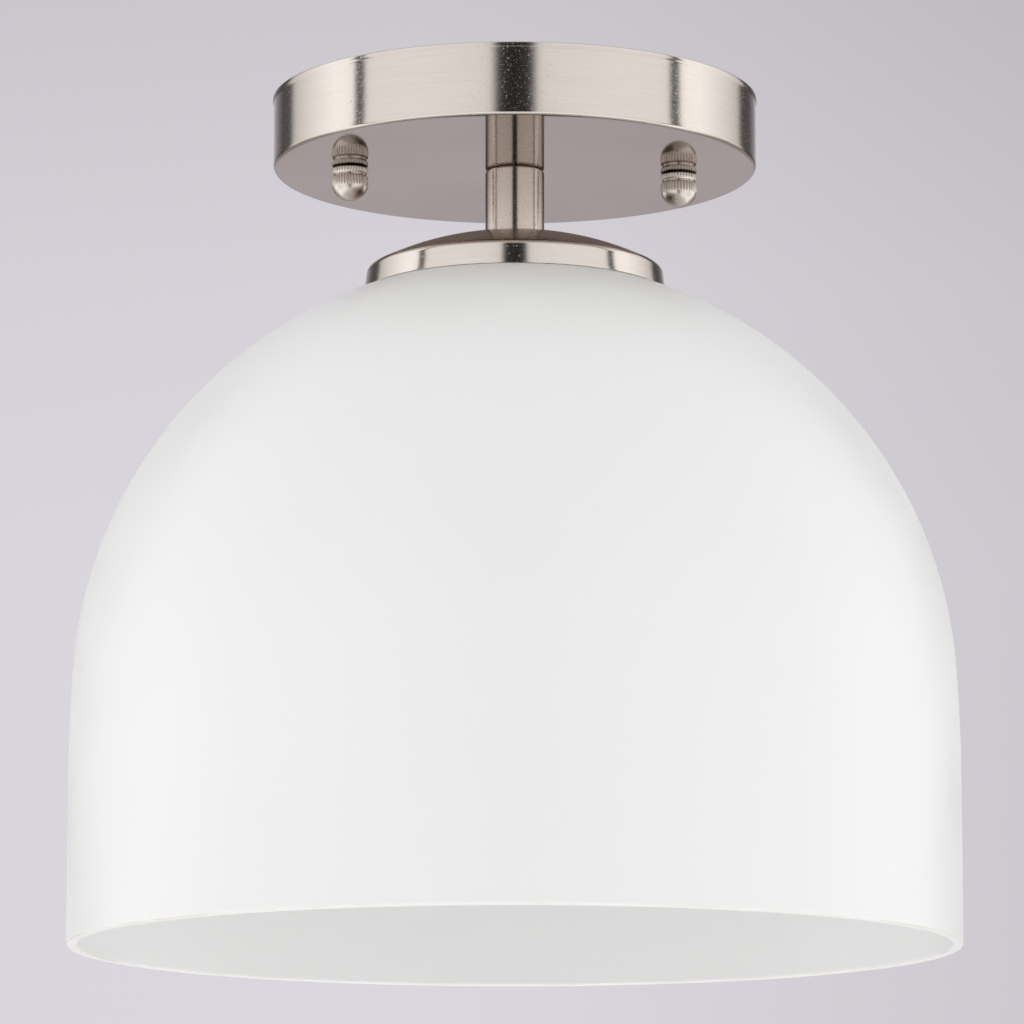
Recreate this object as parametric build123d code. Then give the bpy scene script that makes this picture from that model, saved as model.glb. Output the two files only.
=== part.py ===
"""Flush mount ceiling light with an opal glass dome, in millimetres.

The origin is on the ceiling, at the middle of the crossbar. +Z points up into the
ceiling, the light hangs towards -Z, and the two cap nuts lie on the X axis.
Every piece is written to its own STEP file.
"""
from math import asin, atan2, cos, degrees, radians, sin, sqrt
import os

from build123d import *

# ---------------------------------------------------------------- clearances
thread_gap = 0.05        # between a screw and the thread it runs in, on the radius
hole_gap = 0.4           # round a screw that passes through a plain hole, on the radius
seat_gap = 0.2           # between pieces that are slipped into each other
glass_gap = 0.2          # between the cap's edge and the glass under it

# ------------------------------------------------------------------- canopy
canopy_radius = 65.0
canopy_height = 19.2
canopy_sheet = 1.0
canopy_corner = 1.5      # rounding between wall and face
canopy_lip = 0.3         # how far the top edge stands out
canopy_lip_height = 1.1

# ----------------------------------------------------------------- crossbar
bar_end = 5.55           # from the middle of a stud to the end of the bar
bar_width = 22.0
bar_sheet = 2.0
bar_flange_height = 5.0  # folded edges, measured with the sheet
bar_flange_length = 72.0
box_spacing = 69.85      # between the screws of the ceiling box
box_slot_length = 10.0
box_slot_width = 4.8
centre_hole_radius = 5.0
ground_place = 18.0      # along the bar
ground_radius = 2.0
ground_head_width = 8.0
ground_head_height = 3.0

# ----------------------------------------------------- studs and cap nuts
nut_spacing = 88.9
stud_radius = 2.08
stud_length = 25.4
stud_slot_width = 0.8
stud_slot_depth = 1.2
lock_nut_width = 8.7
lock_nut_height = 3.2
cap_nut_radius = 4.9
cap_nut_height = 9.2
cap_nut_bevel = 0.5
cap_nut_bead_height = 1.9
cap_nut_groove_height = 0.6
cap_nut_groove_depth = 0.5
cap_nut_bore_depth = 7.2

# ----------------------------------------------------------- nipple and stem
nipple_radius = 5.0
nipple_wall = 1.4
nipple_above_nut = 3.4   # free thread above the nut
nipple_nut_width = 14.0
nipple_nut_height = 3.2
lock_washer_radius = 8.2
lock_washer_height = 0.8
lock_washer_teeth = 12
bushing_wall = 0.6
bushing_sleeve = 6.0
bushing_collar_height = 1.4
stem_radius = 7.95
stem_wall = 1.8
stem_length = 18.1
stem_shoulder = 0.9      # rounding of the upper end

# --------------------------------------------------------------- shade cap
cap_radius = 40.2
cap_sheet = 0.8
cap_dome_radius = 88.9
cap_shoulder_radius = 6.5
cap_land_margin = 0.4    # flat top beyond the stem

# -------------------------------------------------------------- lampholder
hub_boss_radius = 8.2
hub_boss_height = 4.3
hub_radius = 20.5
hub_height = 4.0
hub_sheet = 1.2
hub_corner = 1.5
hub_screw_place = 15.3   # from the axis, along Y
hub_screw_radius = 1.45
hub_screw_head_radius = 2.7
hub_screw_head_height = 1.6
hub_screw_bite = 5.0     # length in the porcelain
set_screw_radius = 1.5
flange_radius = 28.0
flange_height = 2.0
skirt_radius = 19.6
skirt_length = 33.0      # below the flange
skirt_bevel = 1.0
recess_radius = 18.3     # wiring recess in the top of the porcelain
recess_depth = 2.5
post_radius = 3.2        # posts for the hub screws
floor_height = 5.0       # porcelain between recess and screw shell

# -------------------------------------------------------------- screw shell
shell_radius = 13.3      # inside, where the lamp screws in
shell_sheet = 0.6
shell_length = 25.0
shell_neck_radius = 12.3
shell_neck_height = 4.0
shell_cone_height = 1.5
shell_hole_radius = 8.6  # hole in its end for the centre contact
shell_rivet_place = 10.5
shell_rivet_angle = 40.0
rivet_radius = 1.1
rivet_head_radius = 1.7
rivet_head_height = 0.6

# ----------------------------------------------------- terminals and contact
plate_sheet = 0.8
plate_width = 8.0
terminal_place = 13.2    # from the axis, along X
terminal_screw_radius = 1.7
terminal_head_radius = 3.3
terminal_head_height = 2.0
terminal_bite = 3.0
contact_sheet = 0.5
contact_width = 5.0
contact_foot_end = 7.9   # outer end of the foot, from the axis
contact_hinge = 3.8      # bend line of the tongue, from the axis
contact_rivet_place = 5.9
contact_reach = 2.6      # tip of the tongue, beyond the axis
contact_drop = 3.6       # how far the tongue hangs below its foot
contact_split = 0.1      # cut between foot and tongue at the bend line

# ------------------------------------------------------------- glass shade
shade_radius = 117.8     # outside, at the rim
shade_wall = 3.0
shade_step = 0.65        # how far the wall stands out beyond the dome's radius
shade_straight = 45.2    # straight wall above the rim
shade_blend_rise = 20.6  # from there to the dome's centre
shade_rim_round = 0.8
crown_margin = 1.4       # flat crown beyond the flange
shade_hole_radius = 21.0
gasket_height = 1.4
gasket_hole_margin = 0.6

# -------------------------------------------------------------- shade ring
ring_flange_height = 3.0
ring_collar_radius = 24.0
ring_height = 10.0
ring_flutes = 16
ring_flute_radius = 1.6

# ------------------------------------------- heights, from the ceiling down
canopy_face = -canopy_height
cap_top = canopy_face - stem_length
hub_top = cap_top - cap_sheet
hub_plate = hub_top - hub_boss_height
body_top = hub_plate - hub_height
flange_bottom = body_top - flange_height
crown = flange_bottom - gasket_height
ring_top = crown - shade_wall
recess_floor = body_top - recess_depth
shell_end = recess_floor - floor_height
shell_mouth = shell_end - shell_length
body_bottom = flange_bottom - skirt_length
shade_dome_radius = shade_radius - shade_step
shade_dome_height = shade_straight + shade_blend_rise
crown_radius = flange_radius + crown_margin
crown_above_centre = sqrt(shade_dome_radius**2 - crown_radius**2)
dome_centre = crown - crown_above_centre
shade_rim = dome_centre - shade_dome_height
nut_seat = canopy_face + canopy_sheet + lock_washer_height
nipple_top = nut_seat + nipple_nut_height + nipple_above_nut
nipple_bottom = hub_plate - hub_sheet
bar_length = nut_spacing + 2 * bar_end
nut_places = {"left": -nut_spacing / 2, "right": nut_spacing / 2}


# ------------------------------------------------------------------ helpers
def disc(radius, top, bottom):
    """A cylinder on the Z axis."""
    return Pos(0, 0, (top + bottom) / 2) * Cylinder(radius, top - bottom)


def tube(radius, bore, top, bottom):
    """A ring or a tube on the Z axis."""
    return disc(radius, top, bottom) - disc(bore, top, bottom)


def hexagon(width, top, bottom):
    """A hexagonal prism, given its width across the flats."""
    outline = RegularPolygon(width / 2, 6, major_radius=False)
    return Pos(0, 0, bottom) * extrude(outline, top - bottom)


def turned(outline):
    """The solid that a closed outline in the XZ plane makes about the Z axis."""
    return revolve(make_face(outline), Axis.Z)


def slotted(head, width, depth, top, upward=True):
    """Cut a screwdriver slot across the end of a screw."""
    level = top - depth / 2 if upward else top + depth / 2
    across = 2 * head.bounding_box().size.X
    return head - Pos(0, 0, level) * Box(across, width, depth)


def dome_height(radius):
    """Height of the glass dome's outer surface at a distance from the axis."""
    return dome_centre + sqrt(shade_dome_radius**2 - radius**2)


# ------------------------------------------------------------ ceiling bracket
def crossbar():
    """A folded strap with two slots for the box and tapped holes for the studs."""
    strap = extrude(SlotOverall(bar_length, bar_width), -bar_sheet)
    fold_y = (bar_width - bar_sheet) / 2
    fold = Box(bar_flange_length, bar_sheet, bar_flange_height)
    folds = [Pos(0, side * fold_y, -bar_flange_height / 2) * fold for side in (-1, 1)]
    bar = strap + folds
    slot = extrude(SlotOverall(box_slot_length, box_slot_width), -bar_sheet)
    for side in (-1, 1):
        bar -= Pos(side * box_spacing / 2, 0, 0) * slot
    for place in nut_places.values():
        bar -= Pos(place, 0, 0) * disc(stud_radius + thread_gap, 0, -bar_sheet)
    bar -= disc(centre_hole_radius, 0, -bar_sheet)
    bar -= Pos(ground_place, 0, 0) * disc(ground_radius + thread_gap, 0, -bar_sheet)
    return bar


def ground_screw():
    """A hexagon head screw in the strap, with its head below."""
    bottom = -bar_sheet - ground_head_height
    head = hexagon(ground_head_width, -bar_sheet, bottom)
    head = chamfer(head.faces().sort_by(Axis.Z)[0].edges(), ground_head_height / 6)
    head = slotted(head, stud_slot_width, stud_slot_depth, bottom, upward=False)
    return Pos(ground_place, 0, 0) * (head + disc(ground_radius, 0, -bar_sheet))


def canopy_stud():
    """A threaded stud, slotted at its upper end, flush with the strap."""
    stud = disc(stud_radius, 0, -stud_length)
    stud = chamfer(stud.faces().sort_by(Axis.Z)[0].edges(), stud_radius / 4)
    return slotted(stud, stud_slot_width, stud_slot_depth, 0)


def lock_nut():
    """The hexagon nut that locks a stud under the strap."""
    nut = hexagon(lock_nut_width, -bar_sheet, -bar_sheet - lock_nut_height)
    return nut - disc(stud_radius + thread_gap, -bar_sheet, -bar_sheet - lock_nut_height)


def cap_nut():
    """A closed nut: bevel, bead, groove, band and a round end, with a blind bore."""
    radius = cap_nut_radius
    groove = radius - cap_nut_groove_depth
    bead_low = canopy_face - cap_nut_bead_height
    band_top = bead_low - cap_nut_groove_height
    dome_top = canopy_face - cap_nut_height + radius
    outline = Polyline(
        (0, canopy_face),
        (radius - cap_nut_bevel, canopy_face),
        (radius, canopy_face - cap_nut_bevel),
        (radius, bead_low + cap_nut_bevel / 2),
        (groove, bead_low),
        (groove, band_top),
        (radius, band_top - cap_nut_bevel / 2),
        (radius, dome_top),
    )
    end = RadiusArc((radius, dome_top), (0, dome_top - radius), radius)
    axis = Line((0, dome_top - radius), (0, canopy_face))
    nut = turned(Plane.XZ * (outline + end + axis))
    return nut - disc(stud_radius + thread_gap, canopy_face, canopy_face - cap_nut_bore_depth)


# ------------------------------------------------------------ canopy and stem
def canopy():
    """A drawn pan, open at the ceiling, with a slightly turned-out top edge."""
    pan = disc(canopy_radius, 0, canopy_face)
    pan = fillet(pan.faces().sort_by(Axis.Z)[0].edges(), canopy_corner)
    lip_low = -canopy_lip_height
    lip = Pos(0, 0, lip_low / 2) * Cone(
        canopy_radius, canopy_radius + canopy_lip, canopy_lip_height
    )
    hollow = disc(canopy_radius - canopy_sheet, 0, canopy_face + canopy_sheet)
    inner_corner = max(canopy_corner - canopy_sheet, canopy_corner / 4)
    hollow = fillet(hollow.faces().sort_by(Axis.Z)[0].edges(), inner_corner)
    pan = pan + lip - hollow
    for place in nut_places.values():
        pan -= Pos(place, 0, 0) * disc(stud_radius + hole_gap, 0, canopy_face)
    return pan - disc(nipple_radius + seat_gap, 0, canopy_face)


def stem():
    """The tube between canopy and shade cap, rounded at its upper end."""
    body = tube(stem_radius, stem_radius - stem_wall, canopy_face, cap_top)
    rim = body.faces().sort_by(Axis.Z)[-1].outer_wire().edges()
    return fillet(rim, min(stem_shoulder, stem_wall * 0.8))


def threaded_nipple():
    """The hollow threaded tube through canopy, stem, cap and hub."""
    body = tube(nipple_radius, nipple_radius - nipple_wall, nipple_top, nipple_bottom)
    return chamfer(body.faces().sort_by(Axis.Z)[0].outer_wire().edges(), nipple_wall / 3)


def nipple_hex_nut():
    """The nut that draws the stack together inside the canopy."""
    top = nut_seat + nipple_nut_height
    return hexagon(nipple_nut_width, top, nut_seat) - disc(
        nipple_radius + thread_gap, top, nut_seat
    )


def lock_washer():
    """A toothed washer under the nut."""
    bottom = nut_seat - lock_washer_height
    washer = tube(lock_washer_radius, nipple_radius + seat_gap, nut_seat, bottom)
    tooth_gap = Pos(lock_washer_radius, 0, nut_seat - lock_washer_height / 2) * Box(
        (lock_washer_radius - nipple_radius) / 2, lock_washer_height, lock_washer_height
    )
    for turn in range(lock_washer_teeth):
        washer -= Rot(0, 0, turn * 360 / lock_washer_teeth) * tooth_gap
    return washer


def wire_bushing():
    """The bushing that keeps the wires off the nipple's edge."""
    bore = nipple_radius - nipple_wall - bushing_wall
    sleeve_radius = nipple_radius - nipple_wall - thread_gap
    sleeve = disc(sleeve_radius, nipple_top, nipple_top - bushing_sleeve)
    collar = disc(nipple_radius, nipple_top + bushing_collar_height, nipple_top)
    collar = chamfer(collar.faces().sort_by(Axis.Z)[-1].edges(), bushing_collar_height / 3)
    top = nipple_top + bushing_collar_height
    return sleeve + collar - disc(bore, top, nipple_top - bushing_sleeve)


def cap_surface(inset):
    """The cap's section from its bottom edge to its flat top, inset by a wall."""
    land = stem_radius + cap_land_margin
    centre_z = cap_top - sqrt(cap_dome_radius**2 - land**2)
    shoulder = cap_dome_radius - cap_shoulder_radius
    slope = asin((cap_radius - cap_shoulder_radius) / shoulder)
    shoulder_z = centre_z + shoulder * cos(slope)
    side = cap_radius - inset
    dome = cap_dome_radius - inset
    top = cap_top - inset
    land_inset = sqrt(dome**2 - (top - centre_z)**2)
    band = Line((side, cap_bottom()), (side, shoulder_z))
    bend = JernArc(band @ 1, (0, 1), cap_shoulder_radius - inset, 90 - degrees(slope))
    crown_arc = JernArc(bend @ 1, bend % 1, dome, degrees(slope - asin(land_inset / dome)))
    flat = Line(crown_arc @ 1, (0, top))
    return band + bend + crown_arc + flat


def cap_bottom():
    """The cap's lower edge, just clear of the glass below its inner corner."""
    return dome_height(cap_radius - cap_sheet) + glass_gap


def shade_cap():
    """The spun cap over the top of the glass."""
    outer = cap_surface(0)
    inner = cap_surface(cap_sheet)
    edge = Line((cap_radius, cap_bottom()), (cap_radius - cap_sheet, cap_bottom()))
    axis = Line((0, cap_top), (0, cap_top - cap_sheet))
    cap = turned(Plane.XZ * (outer + inner + edge + axis))
    return cap - disc(nipple_radius + seat_gap, cap_top, cap_top - cap_sheet)


# ---------------------------------------------------------------- lampholder
def hub_set_screw_height():
    """The set screw sits halfway up the hub's boss."""
    return hub_top - hub_boss_height / 2


def lampholder_hub():
    """A cup with a threaded boss, closed by the porcelain below."""
    cup = disc(hub_radius, hub_plate, body_top)
    cup = fillet(cup.faces().sort_by(Axis.Z)[-1].edges(), hub_corner)
    cup -= disc(hub_radius - hub_sheet, hub_plate - hub_sheet, body_top)
    hub = cup + disc(hub_boss_radius, hub_top, hub_plate)
    hub -= disc(nipple_radius + thread_gap, hub_top, hub_plate - hub_sheet)
    for side in (-1, 1):
        hub -= Pos(0, side * hub_screw_place, 0) * disc(
            hub_screw_radius + seat_gap, hub_plate, hub_plate - hub_sheet
        )
    return hub - set_screw_space(set_screw_radius + thread_gap, hub_boss_radius)


def set_screw_space(radius, outer_end):
    """A cylinder along X from the nipple's surface outwards."""
    inner_end = nipple_radius
    length = outer_end - inner_end
    middle = (inner_end + outer_end) / 2
    rod = Rot(0, 90, 0) * Cylinder(radius, length)
    return Pos(middle, 0, hub_set_screw_height()) * rod


def hub_set_screw():
    """The set screw that locks the hub on the nipple, with a cross slot."""
    inner_end = nipple_radius + thread_gap
    length = hub_boss_radius - inner_end
    middle = (inner_end + hub_boss_radius) / 2
    screw = Rot(0, 90, 0) * Cylinder(set_screw_radius, length)
    screw = Pos(middle, 0, hub_set_screw_height()) * screw
    slot = Box(stud_slot_depth, 2 * hub_boss_radius, stud_slot_width / 2)
    return screw - Pos(hub_boss_radius, 0, hub_set_screw_height()) * slot


def hub_screws():
    """Two screws that hold the hub to the porcelain."""
    bottom = body_top - hub_screw_bite
    head = disc(hub_screw_head_radius, hub_plate + hub_screw_head_height, hub_plate)
    head = chamfer(head.faces().sort_by(Axis.Z)[-1].edges(), hub_screw_head_height / 3)
    head = slotted(
        head, stud_slot_width, hub_screw_head_height / 2, hub_plate + hub_screw_head_height
    )
    screw = head + disc(hub_screw_radius, hub_plate, bottom)
    return [Pos(0, side * hub_screw_place, 0) * screw for side in (-1, 1)]


def rivet_places():
    """Where the two rivets of the screw shell stand."""
    angle = radians(shell_rivet_angle)
    across = shell_rivet_place * sin(angle)
    return [(shell_rivet_place * cos(angle), side * across) for side in (-1, 1)]


def lampholder_body():
    """Porcelain: a flange, a skirt for the ring, a wiring recess and the shell's bore."""
    skirt = disc(skirt_radius, flange_bottom, body_bottom)
    skirt = chamfer(skirt.faces().sort_by(Axis.Z)[0].edges(), skirt_bevel)
    flange = disc(flange_radius, body_top, flange_bottom)
    flange = fillet(flange.faces().sort_by(Axis.Z)[-1].edges(), flange_height / 4)
    recess = disc(recess_radius, body_top, recess_floor)
    for side in (-1, 1):
        recess -= Pos(0, side * hub_screw_place, 0) * disc(post_radius, body_top, recess_floor)
    bore = disc(shell_radius + shell_sheet + seat_gap, shell_end, body_bottom)
    body = skirt + flange - recess - bore
    for side in (-1, 1):
        body -= Pos(0, side * hub_screw_place, 0) * disc(
            hub_screw_radius + thread_gap, body_top, body_top - hub_screw_bite - seat_gap
        )
        body -= Pos(side * terminal_place, 0, 0) * disc(
            terminal_screw_radius + thread_gap, recess_floor, recess_floor - terminal_bite
        )
    rivet_hole = disc(rivet_radius + thread_gap, recess_floor, shell_end)
    for place in rivet_places() + [(-contact_rivet_place, 0)]:
        body -= Pos(*place, 0) * rivet_hole
    return body


def screw_shell():
    """The shell that the lamp screws into: end disc, neck, cone and straight wall."""
    neck = shell_neck_radius
    wide = shell_radius
    sheet = shell_sheet
    neck_low = shell_end - shell_neck_height
    cone_low = neck_low - shell_cone_height
    outline = Polyline(
        (shell_hole_radius, shell_end),
        (neck + sheet, shell_end),
        (neck + sheet, neck_low),
        (wide + sheet, cone_low),
        (wide + sheet, shell_mouth),
        (wide, shell_mouth),
        (wide, cone_low),
        (neck, neck_low),
        (neck, shell_end - sheet),
        (shell_hole_radius, shell_end - sheet),
        close=True,
    )
    shell = turned(Plane.XZ * outline)
    for place in rivet_places():
        shell -= Pos(*place, 0) * disc(rivet_radius + thread_gap, shell_end, shell_end - sheet)
    return shell


def rivet(top, bottom):
    """A rivet with a head above top and below bottom."""
    shank = disc(rivet_radius, top, bottom)
    upper = disc(rivet_head_radius, top + rivet_head_height, top)
    lower = disc(rivet_head_radius, bottom, bottom - rivet_head_height)
    upper = chamfer(upper.faces().sort_by(Axis.Z)[-1].edges(), rivet_head_height / 3)
    lower = chamfer(lower.faces().sort_by(Axis.Z)[0].edges(), rivet_head_height / 3)
    return shank + upper + lower


def shell_rivets():
    """Two rivets that join the neutral plate, the porcelain and the screw shell."""
    pin = rivet(recess_floor + plate_sheet, shell_end - shell_sheet)
    return [Pos(*place, 0) * pin for place in rivet_places()]


def contact_rivet():
    """The rivet that joins the line plate, the porcelain and the contact's foot."""
    pin = rivet(recess_floor + plate_sheet, shell_end - contact_sheet)
    return Pos(-contact_rivet_place, 0, 0) * pin


def plate(inner_end, outer_end, width):
    """A flat terminal plate along X on the recess floor."""
    outline = Pos((inner_end + outer_end) / 2, 0) * RectangleRounded(
        outer_end - inner_end, width, plate_sheet
    )
    return Pos(0, 0, recess_floor) * extrude(outline, plate_sheet)


def terminal_plate_line():
    """Brass plate from the contact's rivet to the line screw."""
    outer_end = terminal_place + terminal_head_radius
    inner_end = contact_rivet_place - rivet_head_radius
    body = Rot(0, 0, 180) * plate(inner_end, outer_end, plate_width)
    top = recess_floor + plate_sheet
    body -= Pos(-terminal_place, 0, 0) * disc(
        terminal_screw_radius + thread_gap, top, recess_floor
    )
    return body - Pos(-contact_rivet_place, 0, 0) * disc(
        rivet_radius + thread_gap, top, recess_floor
    )


def terminal_plate_neutral():
    """Plate across both shell rivets, with a tab under the neutral screw."""
    reach_x, reach_y = rivet_places()[1]
    width = 2 * (reach_y + rivet_head_radius)
    cross = plate(reach_x - rivet_head_radius, reach_x + rivet_head_radius, width)
    tab = plate(reach_x, terminal_place + terminal_head_radius, plate_width)
    body = cross + tab
    top = recess_floor + plate_sheet
    for place in rivet_places():
        body -= Pos(*place, 0) * disc(rivet_radius + thread_gap, top, recess_floor)
    return body - Pos(terminal_place, 0, 0) * disc(
        terminal_screw_radius + thread_gap, top, recess_floor
    )


def terminal_screw():
    """A binding screw with a broad slotted head."""
    seat = recess_floor + plate_sheet
    top = seat + terminal_head_height
    head = disc(terminal_head_radius, top, seat)
    head = chamfer(head.faces().sort_by(Axis.Z)[-1].edges(), terminal_head_height / 6)
    head = slotted(head, stud_slot_width, terminal_head_height / 2, top)
    return head + disc(terminal_screw_radius, seat, recess_floor - terminal_bite)


def contact_foot():
    """The flat part of the centre contact, riveted under the porcelain floor."""
    length = contact_foot_end - contact_hinge
    middle = -(contact_foot_end + contact_hinge) / 2
    foot = Pos(middle, 0, shell_end - contact_sheet / 2) * Box(
        length, contact_width, contact_sheet
    )
    return foot - Pos(-contact_rivet_place, 0, 0) * disc(
        rivet_radius + thread_gap, shell_end, shell_end - contact_sheet
    )


def contact_tongue():
    """The sprung part: it slopes down to the lamp and turns up at its tip."""
    root_x = -contact_hinge + contact_split + contact_sheet / 2
    root_z = shell_end - contact_sheet / 2
    low_z = root_z - contact_drop
    line = Polyline(
        (root_x, root_z),
        (0, low_z),
        (contact_reach, low_z + contact_drop / 6),
    )
    strip = offset(Plane.XZ * line, contact_sheet / 2, side=Side.BOTH)
    return extrude(make_face(strip), contact_width / 2, both=True)


# -------------------------------------------------------------- glass shade
def shade_surface(inset):
    """The glass section from rim to flat crown, inset by the wall."""
    wall_radius = shade_radius - inset
    dome_radius = shade_dome_radius - inset
    blend = 2 * atan2(shade_step, shade_blend_rise)
    blend_radius = shade_dome_radius + shade_blend_rise / sin(blend) - inset
    top = crown - inset
    wall = Line((wall_radius, shade_rim), (wall_radius, shade_rim + shade_straight))
    bend = JernArc(wall @ 1, (0, 1), blend_radius, degrees(blend))
    end = asin((top - dome_centre) / dome_radius)
    dome = JernArc(bend @ 1, bend % 1, dome_radius, degrees(end - blend))
    flat = Line(dome @ 1, (shade_hole_radius, top))
    return wall + bend + dome + flat


def glass_shade():
    """The opal dome with a flat crown round its hole and a softened rim."""
    outer = shade_surface(0)
    inner = shade_surface(shade_wall)
    rim = Line((shade_radius, shade_rim), (shade_radius - shade_wall, shade_rim))
    hole = Line((shade_hole_radius, crown), (shade_hole_radius, ring_top))
    shade = turned(Plane.XZ * (outer + inner + rim + hole))
    rim_edges = shade.faces().sort_by(Axis.Z)[0].edges()
    return fillet(rim_edges, min(shade_rim_round, shade_wall * 0.4))


def shade_gasket():
    """The soft washer between flange and glass."""
    return tube(flange_radius, skirt_radius + gasket_hole_margin, flange_bottom, crown)


def shade_ring():
    """The ring under the glass: a flange, and a fluted collar for the fingers."""
    flange_low = ring_top - ring_flange_height
    ring_low = ring_top - ring_height
    flange = disc(flange_radius, ring_top, flange_low)
    flange = fillet(flange.faces().sort_by(Axis.Z)[0].edges(), ring_flange_height / 3)
    collar = disc(ring_collar_radius, flange_low, ring_low)
    collar = chamfer(collar.faces().sort_by(Axis.Z)[0].edges(), ring_flange_height / 4)
    flute = Pos(ring_collar_radius + ring_flute_radius / 2, 0, 0) * disc(
        ring_flute_radius, flange_low, ring_low
    )
    for turn in range(ring_flutes):
        collar -= Rot(0, 0, turn * 360 / ring_flutes) * flute
    ring = flange + collar
    return ring - disc(skirt_radius + thread_gap, ring_top, ring_low)


# ------------------------------------------------------------------- output
def pieces():
    """Every node of the light by name, as a solid or a list of solids."""
    parts = {
        "crossbar": crossbar(),
        "ground_screw": ground_screw(),
        "stud_lock_nuts": [Pos(x, 0, 0) * lock_nut() for x in nut_places.values()],
        "canopy": canopy(),
        "threaded_nipple": threaded_nipple(),
        "nipple_hex_nut": nipple_hex_nut(),
        "lock_washer": lock_washer(),
        "wire_bushing": wire_bushing(),
        "stem": stem(),
        "shade_cap": shade_cap(),
        "lampholder_hub": lampholder_hub(),
        "hub_set_screw": hub_set_screw(),
        "hub_screws": hub_screws(),
        "lampholder_body": lampholder_body(),
        "screw_shell": screw_shell(),
        "shell_rivets": shell_rivets(),
        "terminal_plate_line": terminal_plate_line(),
        "terminal_plate_neutral": terminal_plate_neutral(),
        "terminal_screw_line": Pos(-terminal_place, 0, 0) * terminal_screw(),
        "terminal_screw_neutral": Pos(terminal_place, 0, 0) * terminal_screw(),
        "contact_foot": contact_foot(),
        "contact_rivet": contact_rivet(),
        "contact_tongue": contact_tongue(),
        "glass_shade": glass_shade(),
        "shade_gasket": shade_gasket(),
        "shade_ring": shade_ring(),
    }
    for side, place in nut_places.items():
        parts["canopy_stud_" + side] = Pos(place, 0, 0) * canopy_stud()
        parts["cap_nut_" + side] = Pos(place, 0, 0) * cap_nut()
    return parts


os.makedirs("parts", exist_ok=True)
for name, shape in pieces().items():
    solids = []
    for item in shape if isinstance(shape, list) else [shape]:
        solids += item.solids()
    body = solids[0] if len(solids) == 1 else Compound(solids)
    export_step(body, "parts/" + name + ".step")
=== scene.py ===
"""Looks of the flush mount ceiling light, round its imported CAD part.

Sections and small sizes are in millimetres, everything that Blender gets is in metres.
z = 0 is the ceiling, the light hangs towards -Z and the cap nuts lie on the X axis.
"""

from math import acos, asin, atan2, cos, degrees, pi, radians, sin, sqrt, tan

import bmesh
import bpy
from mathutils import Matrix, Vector


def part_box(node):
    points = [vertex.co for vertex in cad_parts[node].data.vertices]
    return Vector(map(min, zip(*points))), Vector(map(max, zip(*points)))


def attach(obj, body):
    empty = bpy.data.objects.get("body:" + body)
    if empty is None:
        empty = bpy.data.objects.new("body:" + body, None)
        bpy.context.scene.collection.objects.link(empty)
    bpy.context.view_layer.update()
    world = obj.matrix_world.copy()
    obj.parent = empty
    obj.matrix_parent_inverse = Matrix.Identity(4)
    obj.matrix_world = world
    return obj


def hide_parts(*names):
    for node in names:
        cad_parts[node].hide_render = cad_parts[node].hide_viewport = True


MM = 0.001
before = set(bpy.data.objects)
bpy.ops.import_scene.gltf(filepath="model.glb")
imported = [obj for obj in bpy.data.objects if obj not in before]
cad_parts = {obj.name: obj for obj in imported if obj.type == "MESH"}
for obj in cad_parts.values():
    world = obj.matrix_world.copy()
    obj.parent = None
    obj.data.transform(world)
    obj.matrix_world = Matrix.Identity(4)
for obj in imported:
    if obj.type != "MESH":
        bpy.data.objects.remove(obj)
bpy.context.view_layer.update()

# ------------------------------------------------------------------- camera
FOCAL_PIXELS = 5577.5    # focal length, in pixels of the picture
PICTURE_PIXELS = 1024    # the picture's width
SENSOR = 36.0
CAMERA_DISTANCE = 1466.5
CAMERA_DROP = 363.5      # below the ceiling
CAMERA_RISE = 9.717      # degrees that it looks up
CAMERA_TURN = 5.0        # degrees round the light
CAMERA_SIDE = -0.75      # sideways, so that the light stands right of the middle
CAMERA_REACH = 100.0     # metres

# ------------------------------------------------------ sizes of the details
CANOPY_SHEET = 1.0
CANOPY_CORNER = 1.0      # rounding of the lower edge
LIP_HEIGHT = 1.1         # the rolled upper edge
LIP_REACH = 0.3
LIP_SLOPE_BELOW = 0.5    # where its underside slopes, from below that height
LIP_SLOPE_ABOVE = 0.2    # to above it
LIP_ROUND = 0.8
STUD_HOLE = 2.48         # radius
NIPPLE_HOLE = 5.2        # radius
STEM_WALL = 1.8
STEM_SHOULDER = 0.9      # rounding of the upper end
CAP_SHEET = 0.8
CAP_DROP = 0.16          # how much flatter the cap is than the solid
CAP_DOME = 85.2          # radius of its dome
CAP_SHOULDER = 2.0       # radius between dome and wall
CAP_LAND = 0.4           # the flat round the stem
CAP_TAPER = 0.3          # how far the wall's upper end stands inside the solid's
CAP_FLARE = 0.3          # how far its lower edge stands outside it
CAP_EDGE = 0.12
CAP_CLEAR = 0.08         # between the cap's lower edge and the glass
NUT_BEAD = 1.9
NUT_BEAD_TAPER = 0.1     # how far the bead is drawn in at its lower side
NUT_BEAD_BEVEL = 0.5
NUT_TOP_INSET = 0.9      # how far inside the bead's radius the flat top ends
NUT_TOP_BEVEL = 0.45
NUT_TOP_PLAIN = 0.5      # height without ribs
NUT_GROOVE = 0.6
NUT_GROOVE_DEPTH = 0.5
NUT_BAND = 3.0
NUT_BAND_BEVEL = 0.25
NUT_BORE = 2.13          # radius
NUT_BORE_DEPTH = 7.2
NUT_RIBS = 36
NUT_RIB_DEPTH = 0.3
NUT_RIB_END = 0.9        # height over which the ribs run out
GLASS_WALL = 3.0
GLASS_STEP = 0.65        # how much wider the straight wall is than the dome
GLASS_STRAIGHT = 45.2    # height of the straight wall
GLASS_BLEND = 20.6       # from its end up to the dome's centre
GLASS_HOLE = 21.0        # radius of the hole in the crown
GLASS_RIM_ROUND = 0.8
GLASS_THROUGH = 0.1      # share of the light that passes each face of the glass
RECESS_RADIUS = 18.3     # the wiring recess in the porcelain
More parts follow.
